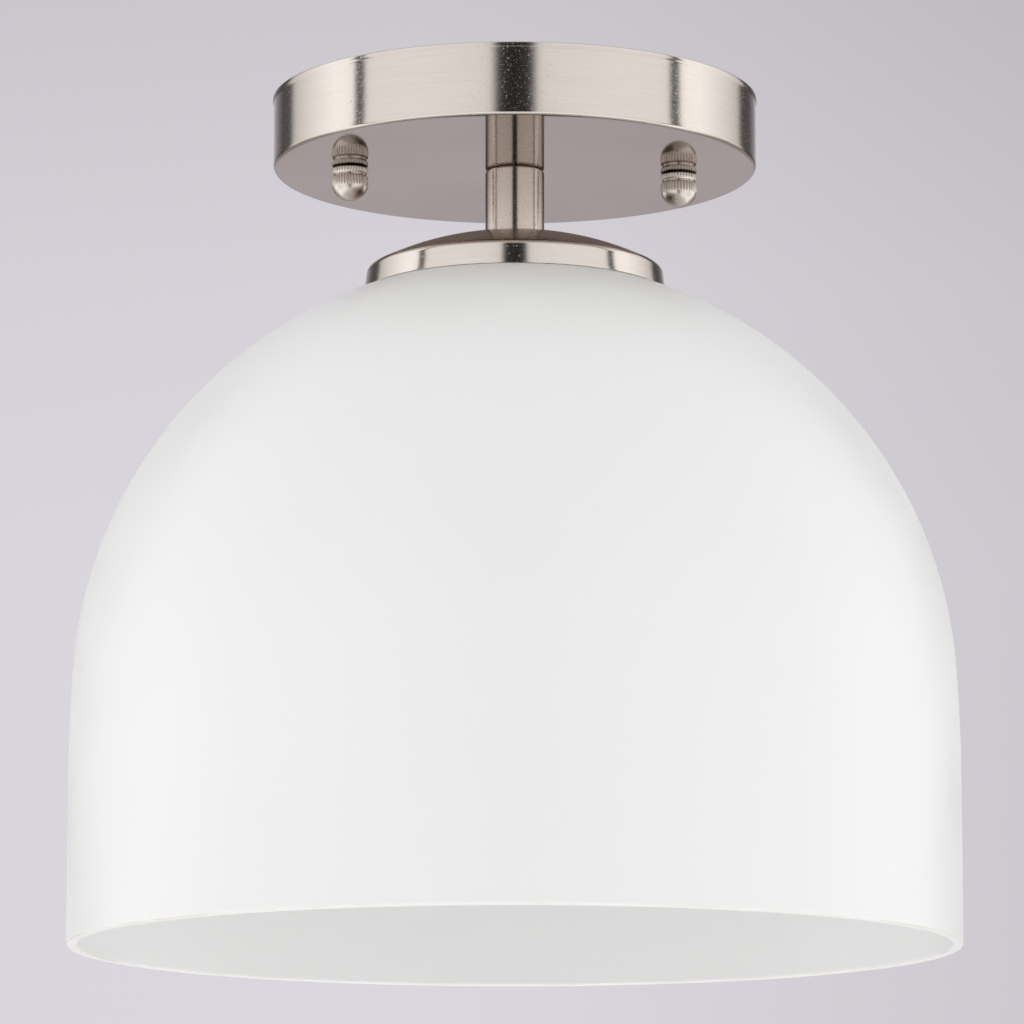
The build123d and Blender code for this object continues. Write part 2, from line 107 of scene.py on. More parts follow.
SHELL_CLEAR = 0.2        # between screw shell and porcelain
SKIRT_RADIUS = 19.6
SKIRT_PITCH = 3.0
SKIRT_THREAD_DEPTH = 0.7
SKIRT_END_LOW = 1.6      # heights without thread
SKIRT_END_TOP = 1.5
SKIRT_RUNOUT = 1.5       # height over which the thread runs out
SHELL_SHEET = 0.6
SHELL_HOLE = 8.6         # radius of the hole in its upper end
SHELL_NECK = 4.0         # height of the narrow upper part
SHELL_NECK_INSET = 1.0
SHELL_CONE = 1.5         # height of the cone below it
SHELL_PLAIN_TOP = 0.2    # heights without thread
SHELL_PLAIN_LOW = 1.2
SHELL_RUNOUT_TOP = 2.0
SHELL_RUNOUT_LOW = 1.2
LAMP_THREAD_PITCH = 3.63
LAMP_THREAD_DEPTH = 0.85
RING_FLANGE_REACH = 4.0
RING_FLANGE_HEIGHT = 3.0
RING_CLEAR = 0.05        # between ring and skirt
RING_THREAD_DEPTH = 0.6
RING_THREAD_END = 0.6    # heights without thread
RING_RUNOUT = 0.8
RING_FLUTES = 16
RING_FLUTE_RADIUS = 1.6
STUD_PITCH = 0.79
STUD_THREAD_DEPTH = 0.4
STUD_SLOT = 0.8
STUD_SLOT_DEPTH = 1.2
NIPPLE_WALL = 1.4
NIPPLE_PITCH = 0.94
NIPPLE_THREAD_DEPTH = 0.5
HEX_NUT_WIDTH = 14.0     # across its flats
HEX_NUT_BORE = 5.05      # radius
HEX_NUT_FACE = 0.97      # share of the width that the flat ends have
HEX_NUT_CHAMFER = 1.732  # tangent of the angle of its turned corners, 60 degrees
THREAD_STEEPNESS = 1.15  # above 1 a pointed thread gets narrow flat crests
SHARP_ANGLE = 32.0       # degrees between two faces that still look like one


# ----------------------------------------------------------------- outlines
def size_of(node_name):
    """(half width along X, top, bottom) of a CAD node, in millimetres."""
    low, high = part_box(node_name)
    return (high.x - low.x) / 2 / MM, high.z / MM, low.z / MM


def middle_of(node_name):
    """(x, y) of the middle of a CAD node, in millimetres."""
    low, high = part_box(node_name)
    return (low.x + high.x) / 2 / MM, (low.y + high.y) / 2 / MM


def limited(value):
    """The value, but at least 0 and at most 1."""
    return min(1.0, max(0.0, value))


def arc(centre, radius, start, end, steps):
    """Points on an arc, its angles in degrees from the radius axis."""
    points = []
    for i in range(steps + 1):
        angle = radians(start + (end - start) * i / steps)
        points.append((centre[0] + radius * cos(angle), centre[1] + radius * sin(angle)))
    return points


def rounded(corners, steps=5):
    """A closed outline from corners (radius, height, rounding)."""
    points = []
    for i, (radius, height, rounding) in enumerate(corners):
        here = Vector((radius, height))
        back = (Vector(corners[i - 1][:2]) - here).normalized()
        ahead = (Vector(corners[(i + 1) % len(corners)][:2]) - here).normalized()
        if not rounding:
            points.append(tuple(here))
            continue
        half = acos(max(-1.0, min(1.0, back.dot(ahead)))) / 2
        centre = here + (back + ahead).normalized() * rounding / sin(half)
        first = here + back * rounding / tan(half) - centre
        last = here + ahead * rounding / tan(half) - centre
        start = degrees(atan2(first.y, first.x))
        turn = (degrees(atan2(last.y, last.x)) - start + 180) % 360 - 180
        points += arc(centre, rounding, start, start + turn, steps)
    return points


def divided(outline, longest, closed=True):
    """The outline with more points, so that runs are about the given length or shorter."""
    points = []
    for i, (radius, height) in enumerate(outline):
        if i == len(outline) - 1 and not closed:
            points.append((radius, height))
            break
        end = outline[(i + 1) % len(outline)]
        parts = max(1, round(sqrt((end[0] - radius) ** 2 + (end[1] - height) ** 2) / longest))
        for k in range(parts):
            share = k / parts
            points.append(
                (radius + (end[0] - radius) * share, height + (end[1] - height) * share)
            )
    return points


# --------------------------------------------------------- threads and ribs
def knurled(angle, count, depth):
    """How far a straight knurl is cut in at an angle: narrow valleys, round ribs."""
    return depth * (1 - abs(sin(count * angle / 2))) ** 1.5


def pointed_thread(angle, height, pitch):
    """Height of a pointed screw thread at a place, from 0 at the root to 1 at the crest."""
    turn = (height / pitch - angle / (2 * pi)) % 1
    return min(1.0, THREAD_STEEPNESS * abs(2 * turn - 1))


def round_thread(angle, height, pitch):
    """Depth of a rounded screw thread at a place, from 0 to 1."""
    turn = height / pitch - angle / (2 * pi)
    return (1 + cos(2 * pi * turn)) / 2


def hexagon_radius(angle, width):
    """Distance from axis to side of a hexagon with corners on the X axis."""
    return width / 2 / cos((angle + 1e-9) % (pi / 3) - pi / 6)


# ------------------------------------------------------------------- meshes
def new_piece(name, vertices, faces):
    """An object with a mesh of its own."""
    mesh = bpy.data.meshes.new(name)
    mesh.from_pydata(vertices, [], faces)
    piece = bpy.data.objects.new(name, mesh)
    bpy.context.scene.collection.objects.link(piece)
    return piece


def lathe(name, outline, segments, place=(0, 0), shape=None):
    """A closed outline turned about a vertical axis.

    shape(angle, radius, height) moves the points of a piece that isn't round.
    """
    vertices = []
    for i in range(segments):
        angle = 2 * pi * i / segments
        for radius, height in outline:
            if shape:
                radius, height = shape(angle, radius, height)
            x = place[0] + radius * cos(angle)
            y = place[1] + radius * sin(angle)
            vertices.append((x * MM, y * MM, height * MM))
    faces = []
    count = len(outline)
    for i in range(segments):
        here = i * count
        there = (i + 1) % segments * count
        for j in range(count):
            k = (j + 1) % count
            if outline[j][0] > 0 or outline[k][0] > 0:
                faces.append((here + j, here + k, there + k, there + j))
    piece = new_piece(name, vertices, faces)
    weld(piece.data)
    return piece


def box(name, middle, size, height):
    """A box, given the height of its middle; used to cut with."""
    half_x, half_y, half_z = (part / 2 for part in size)
    corners = [
        ((middle[0] + i * half_x) * MM, (middle[1] + j * half_y) * MM, (height + k * half_z) * MM)
        for i in (-1, 1) for j in (-1, 1) for k in (-1, 1)
    ]
    faces = [(0, 1, 3, 2), (4, 6, 7, 5), (0, 4, 5, 1), (2, 3, 7, 6), (0, 2, 6, 4), (1, 5, 7, 3)]
    return new_piece(name, corners, faces)


def weld(mesh):
    """Joins points that coincide and turns every face outwards."""
    work = bmesh.new()
    work.from_mesh(mesh)
    bmesh.ops.remove_doubles(work, verts=work.verts, dist=1e-7)
    bmesh.ops.recalc_face_normals(work, faces=work.faces)
    work.to_mesh(mesh)
    work.free()


def cut(piece, cutter):
    """Takes the cutter's volume out of the piece and deletes the cutter."""
    tool = piece.modifiers.new("cut", "BOOLEAN")
    tool.object = cutter
    tool.operation = "DIFFERENCE"
    tool.solver = "EXACT"
    graph = bpy.context.evaluated_depsgraph_get()
    result = bpy.data.meshes.new_from_object(piece.evaluated_get(graph))
    piece.modifiers.clear()
    piece.data = result
    bpy.data.objects.remove(cutter)


def smooth(piece):
    """Smooth shading with sharp edges, and flat faces that stay flat."""
    for face in piece.data.polygons:
        face.use_smooth = True
    piece.data.set_sharp_from_angle(angle=radians(SHARP_ANGLE))
    normals = piece.modifiers.new("normals", "WEIGHTED_NORMAL")
    normals.keep_sharp = True


def place_piece(piece, body, slot, material, *nodes):
    """Gives a piece its finish and its body, in place of the CAD nodes named."""
    piece.data.materials.clear()
    piece.data.materials.append(material)
    smooth(piece)
    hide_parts(*nodes)
    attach(piece, body)


def dress_node(node_name, material, bevel=0.0):
    """Keeps a CAD node, with a better material and softly broken edges."""
    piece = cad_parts[node_name]
    piece.data.materials.clear()
    piece.data.materials.append(material)
    if bevel:
        joined = piece.modifiers.new("joined", "WELD")
        joined.merge_threshold = 0.001 * MM
        edges = piece.modifiers.new("edges", "BEVEL")
        edges.width = bevel * MM
        edges.segments = 2
        edges.limit_method = "ANGLE"
        edges.angle_limit = radians(40)
        edges.harden_normals = True


# ------------------------------------------------------------- shader nodes
def node(tree, kind, inputs=(), **settings):
    """A shader node. Each of its inputs gets a value, or another node's output."""
    made = tree.nodes.new("ShaderNode" + kind)
    for name, value in settings.items():
        setattr(made, name, value)
    for name, value in dict(inputs).items():
        if isinstance(value, bpy.types.Node):
            value = value.outputs[0]
        if isinstance(value, bpy.types.NodeSocket):
            tree.links.new(value, made.inputs[name])
        else:
            made.inputs[name].default_value = value
    return made


def maths(tree, operation, *values):
    """A math node."""
    return node(tree, "Math", dict(enumerate(values)), operation=operation)


def added(tree, total, *values):
    """The sum of all values."""
    for value in values:
        total = maths(tree, "ADD", total, value)
    return total


def times(tree, product, *values):
    """The product of all values."""
    for value in values:
        product = maths(tree, "MULTIPLY", product, value)
    return product


def vectors(tree, operation, *values, **named):
    """A vector math node."""
    return node(tree, "VectorMath", {**dict(enumerate(values)), **named}, operation=operation)


def flattened(tree, vector):
    """The vector without its height."""
    return vectors(tree, "MULTIPLY", vector, (1, 1, 0))


def length(tree, vector):
    """The vector's length."""
    return vectors(tree, "LENGTH", vector).outputs["Value"]


def height_of(tree, vector):
    """The vector's height."""
    return node(tree, "SeparateXYZ", {0: vector}).outputs["Z"]


def upward(tree):
    """How far a surface faces up, from -1 to 1."""
    return height_of(tree, node(tree, "NewGeometry").outputs["Normal"])


def ramp(tree, factor, stops):
    """A colour ramp from (place, colour) pairs."""
    made = node(tree, "ValToRGB", {0: factor})
    band = made.color_ramp
    while len(band.elements) < len(stops):
        band.elements.new(0.5)
    for element, (place, colour) in zip(band.elements, stops):
        element.position = place
        element.color = (*colour, 1)
    return made


def grey(value):
    """A neutral colour."""
    return (value, value, value)


def tinted(colour, share):
    """A colour made lighter or darker."""
    return tuple(min(1.0, part * share) for part in colour)


def shades(colour, dark, light, places=(0.3, 0.5, 0.7)):
    """Stops of a ramp from a darker through the plain to a lighter colour."""
    return tuple(zip(places, (tinted(colour, dark), colour, tinted(colour, light))))


def blended(tree, share, first, second):
    """A colour that goes from the first to the second as share goes from 0 to 1."""
    inputs = {0: share, 6: first, 7: second}
    for place, colour in ((6, first), (7, second)):
        if isinstance(colour, tuple):
            inputs[place] = (*colour, 1)
    return node(tree, "Mix", inputs, data_type="RGBA").outputs[2]


def ranged(tree, factor, low, high, start=0.0, end=1.0):
    """A value from low to high while the factor goes from start to end."""
    return node(tree, "MapRange", {0: factor, 1: start, 2: end, 3: low, 4: high})


def noise(tree, place, scale, detail=2.0, roughness=0.5):
    """A noise of about scale features in each unit of place."""
    inputs = {"Vector": place, "Scale": scale, "Detail": detail, "Roughness": roughness}
    return node(tree, "TexNoise", inputs)


def local(tree, centre=(0, 0)):
    """The place on the piece in millimetres, from a vertical axis."""
    place = vectors(tree, "SCALE", node(tree, "TexCoord").outputs["Object"], Scale=1 / MM)
    return vectors(tree, "SUBTRACT", place, (*centre, 0))


def round_the_axis(tree, place, along, across):
    """Coordinates that change slowly round the axis and fast across it."""
    flat = flattened(tree, place)
    slow = vectors(tree, "SCALE", vectors(tree, "NORMALIZE", flat), Scale=along)
    outward = maths(tree, "SUBTRACT", length(tree, flat), height_of(tree, place))
    fast = node(tree, "CombineXYZ", {"Z": times(tree, outward, across)})
    return vectors(tree, "ADD", slow, fast)


def bump(tree, height, strength, distance):
    """A normal from a height, at most that many millimetres high."""
    inputs = {"Strength": strength, "Distance": distance * MM, "Height": height}
    return node(tree, "Bump", inputs)


def round_tangent(tree):
    """The direction round the vertical axis, for gloss that spreads."""
    return node(tree, "Tangent", direction_type="RADIAL", axis="Z")


def new_material(name, **inputs):
    """A material with a Principled shader; returns it, its nodes and the shader."""
    material = bpy.data.materials.new(name)
    material.use_nodes = True
    tree = material.node_tree
    shader = tree.nodes["Principled BSDF"]
    for key, value in inputs.items():
        shader.inputs[key.replace("_", " ")].default_value = value
    return material, tree, shader


def connect(tree, shader, **inputs):
    """Links nodes or their outputs to the shader's inputs."""
    for key, value in inputs.items():
        if isinstance(value, bpy.types.Node):
            value = value.outputs[0]
        tree.links.new(value, shader.inputs[key.replace("_", " ")])


def set_surface(tree, result):
    """Makes a shader node the material's surface."""
    tree.links.new(result.outputs[0], tree.nodes["Material Output"].inputs["Surface"])


# ---------------------------------------------------------------- materials
def plated_nickel(name, centre):
    """Smooth satin nickel, as barrel polished small parts have it."""
    material, tree, shader = new_material(
        name, Metallic=1.0, Specular_Tint=(0.7, 0.68, 0.66, 1)
    )
    place = local(tree, centre)
    cloud = noise(tree, place, 0.25, 3.0)
    stops = (
        (0.3, (0.64, 0.58, 0.525)),
        (0.5, (0.67, 0.61, 0.555)),
        (0.7, (0.69, 0.63, 0.575)),
    )
    connect(
        tree, shader,
        Base_Color=ramp(tree, cloud, stops),
        Roughness=ranged(tree, cloud, 0.26, 0.32, 0.3, 0.7),
        Normal=bump(tree, noise(tree, place, 0.8, 3.0), 0.08, 0.01),
    )
    return material


def brushed_nickel(name, colour, rough, drawn=0.0):
    """Satin nickel, brushed round a vertical axis; faces that look down are polished finer and
    painted a little darker, a painted shade.

    drawn adds marks along the axis, as on a drawn tube, and gloss that spreads along it.
    """
    material, tree, shader = new_material(
        name, Metallic=1.0, Specular_Tint=(0.66, 0.64, 0.63, 1),
        Anisotropic=0.9 if drawn else 0.5, Anisotropic_Rotation=0.25 if drawn else 0.0,
    )
    place = local(tree)
    facing = upward(tree)
    underside_polish_and_shade = ranged(tree, facing, 1.0, 0.0, -0.99, -0.8)
    fine = noise(tree, round_the_axis(tree, place, 3.0, 2.2), 1.0, 5.0, 0.75)
    broad = noise(tree, round_the_axis(tree, place, 1.5, 0.35), 1.0, 2.0)
    cloud = noise(tree, place, 0.05, 3.0)
    tone = added(tree, times(tree, fine, 0.7), times(tree, broad, 0.15), times(tree, cloud, 0.15))
    if drawn:
        across = vectors(tree, "MULTIPLY", place, (1, 1, 0.004))
        streak = maths(tree, "SUBTRACT", noise(tree, across, 1.6, 3.0, 0.6), 0.5)
        tone = added(tree, tone, times(tree, streak, drawn))
    brushed_colour = ramp(tree, tone, shades(colour, 0.93, 1.04))
    smudges = noise(tree, place, 0.022, 2.0)
    # faces that look down get a colour 6% darker than the brushed one: painted shade; their finer
    # polish is in the roughness
    polished_shaded_colour = ramp(tree, smudges, shades(tinted(colour, 0.94), 0.95, 1.05))
    specks = ranged(tree, noise(tree, place, 1.9, 3.0, 0.7), 0.0, 0.3, 0.59, 0.73)
    on_top = ranged(tree, facing, 0.0, 0.09, 0.8, 0.97)
    strokes = ranged(tree, tone, rough * 0.85, rough * 1.15, 0.3, 0.7)
    brushed = added(tree, strokes, specks, on_top)
    polished = ranged(tree, tone, 0.045, 0.065, 0.3, 0.7)
    depth = times(tree, fine, ranged(tree, underside_polish_and_shade, 1.0, 0.08))
    connect(
        tree, shader,
        Base_Color=blended(tree, underside_polish_and_shade, brushed_colour, polished_shaded_colour),
        Roughness=node(tree, "Mix", {0: underside_polish_and_shade, 2: brushed, 3: polished}),
        Normal=bump(tree, depth, 0.35, 0.008),
        Tangent=round_tangent(tree),
    )
    return material


def rim_edges(tree, place):
    """Where the two ground edges of the glass's rim are, in patches."""
    radius, _, bottom = size_of("glass_shade")
    half = GLASS_WALL / 2
    off_middle = maths(tree, "SUBTRACT", length(tree, flattened(tree, place)), radius - half)
    off_middle = maths(tree, "ABSOLUTE", off_middle)
    near_edge = ranged(tree, off_middle, 0.0, 1.0, half - 0.45, half - 0.15)
    low = ranged(tree, height_of(tree, place), 1.0, 0.0, bottom + 0.25, bottom + 0.6)
    patchy = ranged(tree, noise(tree, place, 0.05, 4.0, 0.6), 0.15, 0.8, 0.38, 0.62)
    return times(tree, near_edge, low, patchy)


def opal_glass():
    """Satin etched white glass; the ground edges of its rim are faintly yellow."""
    material, tree, shader = new_material(
        "opal_glass", IOR=1.5, Coat_Weight=0.1, Coat_Roughness=0.3
    )
    place = local(tree)
    stops = ((0.35, (0.965, 0.968, 0.96)), (0.65, (0.975, 0.975, 0.972)))
    colour = ramp(tree, noise(tree, place, 0.012, 2.0), stops)
    # faces that look down, the rim's flat and the inside of the crown, are a little greyer
    facing_down = ranged(tree, upward(tree), 1.0, 0.0, -0.95, -0.6)
    colour = blended(tree, facing_down, colour, (0.92, 0.918, 0.91))
    colour = blended(tree, rim_edges(tree, place), colour, (0.74, 0.62, 0.46))
    connect(
        tree, shader,
        Base_Color=colour,
        Roughness=ranged(tree, noise(tree, place, 0.03), 0.38, 0.5, 0.35, 0.65),
        Normal=bump(tree, noise(tree, place, 2.2, 3.0, 0.6), 0.06, 0.01),
    )
    through = node(tree, "BsdfTranslucent", {"Color": colour})
    set_surface(tree, node(tree, "MixShader", {0: GLASS_THROUGH, 1: shader, 2: through}))
    return material


def cloudy_metal(name, colour, dark):
    """Plated or plain metal with a cloudy tone, a fine grain and small dents."""
    material, tree, shader = new_material(name, Metallic=1.0)
    place = local(tree)
    cloud = noise(tree, place, 0.25, 4.0, 0.6)
    rough = noise(tree, place, 0.65, 3.0)
    connect(
        tree, shader,
        Base_Color=ramp(tree, cloud, shades(colour, dark, 1.05, (0.3, 0.6, 0.8))),
        Roughness=ranged(tree, rough, 0.225, 0.39, 0.3, 0.7),
        Normal=bump(tree, noise(tree, place, 2.25, 3.0), 0.3, 0.03),
    )
    return material


def turned_metal(name, colour, roughness, pitch):
    """Metal with the fine grooves of a lathe, about pitch apart."""
    material, tree, shader = new_material(
        name, Metallic=1.0, Anisotropic=0.6, Anisotropic_Rotation=0.25
    )
    place = local(tree)
    grooves = noise(tree, round_the_axis(tree, place, 1.2, 1 / pitch), 1.0, 3.0, 0.7)
    cloud = noise(tree, place, 0.12, 3.0)
    tone = added(tree, times(tree, grooves, 0.6), times(tree, cloud, 0.4))
    connect(
        tree, shader,
        Base_Color=ramp(tree, tone, shades(colour, 0.8, 1.08, (0.32, 0.52, 0.72))),
        Roughness=ranged(tree, tone, roughness * 0.8, roughness * 1.25, 0.3, 0.7),
        Normal=bump(tree, grooves, 0.4, 0.03),
        Tangent=round_tangent(tree),
    )
    return material


def porcelain():
    """Glazed white porcelain, with pinholes and a faintly uneven glaze."""
    material, tree, shader = new_material(
        "porcelain", IOR=1.5, Coat_Weight=0.6, Coat_Roughness=0.06
    )
    place = local(tree)
    cloud = noise(tree, place, 0.09, 3.0)
    pits = node(tree, "TexVoronoi", {"Vector": place, "Scale": 0.28, "Randomness": 1.0})
    off_pit = ranged(tree, pits, 0.0, 1.0, 0.02, 0.07)
    glaze = ramp(tree, cloud, ((0.3, (0.84, 0.82, 0.77)), (0.7, (0.9, 0.885, 0.845))))
    wavy = added(tree, noise(tree, place, 0.22, 2.0), times(tree, off_pit, 0.2))
    connect(
        tree, shader,
        Base_Color=blended(tree, off_pit, (0.5, 0.44, 0.36), glaze),
        Roughness=ranged(tree, cloud, 0.14, 0.26, 0.3, 0.7),
        Normal=bump(tree, wavy, 0.35, 0.12),
    )
    return material


def moulded(name, light, dark, roughness):
    """Plastic or rubber with a fine moulded grain."""
    material, tree, shader = new_material(name, IOR=1.48)
    place = local(tree)
    cloud = noise(tree, place, 1.4 / 6, 3.0)
    connect(
        tree, shader,
        Base_Color=ramp(tree, cloud, ((0.3, dark), (0.7, light))),
        Roughness=ranged(tree, cloud, roughness * 0.8, roughness * 1.2, 0.3, 0.7),
        Normal=bump(tree, noise(tree, place, 1.4, 4.0), 0.35, 0.04),
    )
    return material


def green_lacquer():
    """Green lacquer, rubbed through to the steel on the edges of the head."""
    material, tree, shader = new_material("ground_green", IOR=1.5)
    place = local(tree)
    pointed = node(tree, "NewGeometry").outputs["Pointiness"]
    wear = added(tree, pointed, times(tree, noise(tree, place, 1.2, 4.0), 0.06))
    bare = ranged(tree, wear, 0.0, 1.0, 0.565, 0.6)
    cloud = noise(tree, place, 0.4, 3.0)
    paint = ramp(tree, cloud, ((0.3, (0.025, 0.19, 0.07)), (0.7, (0.045, 0.28, 0.11))))
    connect(
        tree, shader,
        Base_Color=blended(tree, bare, paint, (0.55, 0.56, 0.57)),
        Metallic=bare,
        Roughness=ranged(tree, cloud, 0.25, 0.4, 0.3, 0.7),
        Normal=bump(tree, noise(tree, place, 1.6, 2.0), 0.3, 0.05),
    )
    return material


# ------------------------------------------------------------ visible pieces
def make_canopy(material):
    """The pan with its rolled top edge and holes for studs and nipple."""
    reach, _, face = size_of("canopy")
    radius = reach - LIP_REACH
    inside = radius - CANOPY_SHEET
    floor = face + CANOPY_SHEET
    outline = rounded([
        (NIPPLE_HOLE, floor, 0.15),
        (NIPPLE_HOLE, face, 0.15),
        (radius, face, CANOPY_CORNER),
        (radius, -LIP_HEIGHT - LIP_SLOPE_BELOW, LIP_ROUND),
        (reach, -LIP_HEIGHT + LIP_SLOPE_ABOVE, LIP_ROUND),
        (reach, 0, 0.3),
        (inside, 0, 0.3),
        (inside, floor, CANOPY_CORNER / 2),
    ])
    piece = lathe("canopy_pan", divided(outline, 1.6), 224)
    over, under = floor + 1, face - 1
    hole = [(0, over), (0, under), (STUD_HOLE, under), (STUD_HOLE, over)]
    for side in ("left", "right"):
        cut(piece, lathe("hole", hole, 48, middle_of("canopy_stud_" + side)))
    place_piece(piece, "canopy", "nickel", material, "canopy")


def make_stem(material):
    """The tube with its rounded upper end, down to the cap."""
    radius, top, bottom = size_of("stem")
    bottom -= CAP_DROP
    bore = radius - STEM_WALL
    outline = rounded([
        (bore, top, 0.1),
        (bore, bottom, 0.1),
        (radius, bottom, 0.12),
        (radius, top, STEM_SHOULDER),
    ], 7)
    piece = lathe("stem_tube", divided(outline, 1.0), 96)
    place_piece(piece, "canopy", "nickel", material, "stem")


def cap_outline(side, dome, shoulder, top, centre):
    """One surface of the cap, from its wall to its flat top.

    side, dome and shoulder are radii, centre is the height of the dome's centre.
    """
    turn = asin((side - shoulder) / (dome - shoulder))
    bend_centre = (side - shoulder, centre + (dome - shoulder) * cos(turn))
    land = acos((top - centre) / dome)
    points = arc(bend_centre, shoulder, 0, 90 - degrees(turn), 16)
    points += arc((0, centre), dome, 90 - degrees(turn), 90 - degrees(land), 20)[1:]
    return points


def dome_centre(rim):
    """Height of the centre of the glass's dome."""
    return rim + GLASS_STRAIGHT + GLASS_BLEND


def glass_height(distance):
    """How high the glass stands at a distance from the axis, on its dome."""
    radius, _, rim = size_of("glass_shade")
    return dome_centre(rim) + sqrt((radius - GLASS_STEP) ** 2 - distance**2)


def make_cap(material):
    """The spun cap; its wall widens to the lower edge, which follows the glass."""
    reach, top, _ = size_of("shade_cap")
    top -= CAP_DROP
    side = reach - CAP_TAPER
    lower = reach + CAP_FLARE
    land = size_of("stem")[0] + CAP_LAND
    centre = top - sqrt(CAP_DOME**2 - land**2)
    outer = cap_outline(side, CAP_DOME, CAP_SHOULDER, top, centre)
    inner = cap_outline(
        side - CAP_SHEET, CAP_DOME - CAP_SHEET, CAP_SHOULDER - CAP_SHEET, top - CAP_SHEET, centre,
    )
    edge = rounded([
        (*inner[0], 0),
        (lower - CAP_SHEET, glass_height(lower - CAP_SHEET) + CAP_CLEAR, CAP_EDGE),
        (lower, glass_height(lower) + CAP_CLEAR, CAP_EDGE),
        (*outer[0], 0),
    ], 3)
    hole = [(NIPPLE_HOLE, top), (NIPPLE_HOLE, top - CAP_SHEET)]
    outline = outer[1:] + hole + inner[:0:-1] + edge
    piece = lathe("shade_cap_shell", divided(outline, 1.2), 192)
    place_piece(piece, "canopy", "nickel", material, "shade_cap")


def make_cap_nut(side, material):
    """A closed nut: knurled bead, groove, knurled band and a smooth round end."""
    name = "cap_nut_" + side
    radius, top, bottom = size_of(name)
    bead_low = top - NUT_BEAD
    band_top = bead_low - NUT_GROOVE
    band_low = band_top - NUT_BAND
    groove = radius - NUT_GROOVE_DEPTH
    dome_top = bottom + radius
    outline = rounded([
        (NUT_BORE, top, 0),
        (radius - NUT_TOP_INSET, top, 0.1),
        (radius, top - NUT_TOP_BEVEL, 0.25),
        (radius - NUT_BEAD_TAPER, bead_low + NUT_BEAD_BEVEL, 0.4),
        (groove, bead_low, 0.1),
        (groove, band_top, 0.12),
        (radius, band_top - NUT_BAND_BEVEL, 0.35),
        (radius, dome_top, 0),
    ])[:-1]
    outline = divided(outline, 0.14, closed=False)
    outline += arc((0, dome_top), radius, 0, -90, 28)[:-1]
    bore_end = top - NUT_BORE_DEPTH
    outline += [(0, bottom), (0, bore_end), (NUT_BORE, bore_end)]

    def ribbed(angle, distance, height):
        if distance < groove + 0.05 or height > top - NUT_TOP_PLAIN:
            return distance, height
        fade = limited((height - band_low) / NUT_RIB_END)
        fade *= limited((distance - groove) / NUT_GROOVE_DEPTH)
        return distance - fade * knurled(angle, NUT_RIBS, NUT_RIB_DEPTH), height

    piece = lathe("cap_nut_knurled_" + side, outline, NUT_RIBS * 8, middle_of(name), ribbed)
    place_piece(piece, side + "_nut", "nickel", material, name)


def glass_outline(inset, radius, crown, rim):
    """One surface of the glass, from the rim to the flat crown."""
    dome = radius - GLASS_STEP
    centre = dome_centre(rim)
    turn = 2 * atan2(GLASS_STEP, GLASS_BLEND)
    blend = dome + GLASS_BLEND / sin(turn)
    straight_end = rim + GLASS_STRAIGHT
    points = [(radius - inset, rim)]
    points += arc((radius - blend, straight_end), blend - inset, 0, degrees(turn), 8)
    end = degrees(asin((crown - inset - centre) / (dome - inset)))
    points += arc((0, centre), dome - inset, degrees(turn), end, 60)[1:]
    points.append((GLASS_HOLE, crown - inset))
    return points


def make_glass(material):
    """The opal dome, both faces and the rounded rim in one closed wall."""
    radius, crown, rim = size_of("glass_shade")
    outer = glass_outline(0, radius, crown, rim)
    inner = glass_outline(GLASS_WALL, radius, crown, rim)
    above = rim + 5          # only gives the walls' direction
    edge = rounded([
        (radius, above, 0),
        (radius - GLASS_WALL, above, 0),
        (radius - GLASS_WALL, rim, GLASS_RIM_ROUND),
        (radius, rim, GLASS_RIM_ROUND),
    ], 6)[2:]
    outline = outer[1:] + inner[:0:-1] + edge
    piece = lathe("opal_shade", divided(outline, 3.0), 256)
    place_piece(piece, "shade", "opal_glass", material, "glass_shade")


def make_porcelain(material):
    """The lampholder's body: wiring recess, flange, threaded skirt and lamp bore."""
    flange, top, bottom = size_of("lampholder_body")
    flange_low = size_of("shade_gasket")[1]
    recess_floor = size_of("terminal_plate_line")[2]
    shell, shell_end, _ = size_of("screw_shell")
    bore = shell + SHELL_CLEAR
    thread_low = bottom + SKIRT_END_LOW
    thread_top = flange_low - SKIRT_END_TOP
    outline = rounded([
        (RECESS_RADIUS, recess_floor, 0.4),
        (RECESS_RADIUS, top, 0.4),
        (flange, top, 0.6),
        (flange, flange_low, 0.4),
        (SKIRT_RADIUS, flange_low, 0),
        (SKIRT_RADIUS, bottom, 1.0),
        (bore, bottom, 0.8),
        (bore, shell_end, 0),
        (0, shell_end, 0),
        (0, recess_floor, 0),
    ])

    def threaded(angle, distance, height):
        if abs(distance - SKIRT_RADIUS) > 0.01 or height > thread_top:
            return distance, height
        fade = limited((height - thread_low) / SKIRT_RUNOUT)
        fade *= limited((thread_top - height) / SKIRT_RUNOUT)
        depth = SKIRT_THREAD_DEPTH * fade * round_thread(angle, height, SKIRT_PITCH)
        return distance - depth, height

    piece = lathe("porcelain_body", divided(outline, 0.5), 96, shape=threaded)
    place_piece(piece, "canopy", "porcelain", material, "lampholder_body")


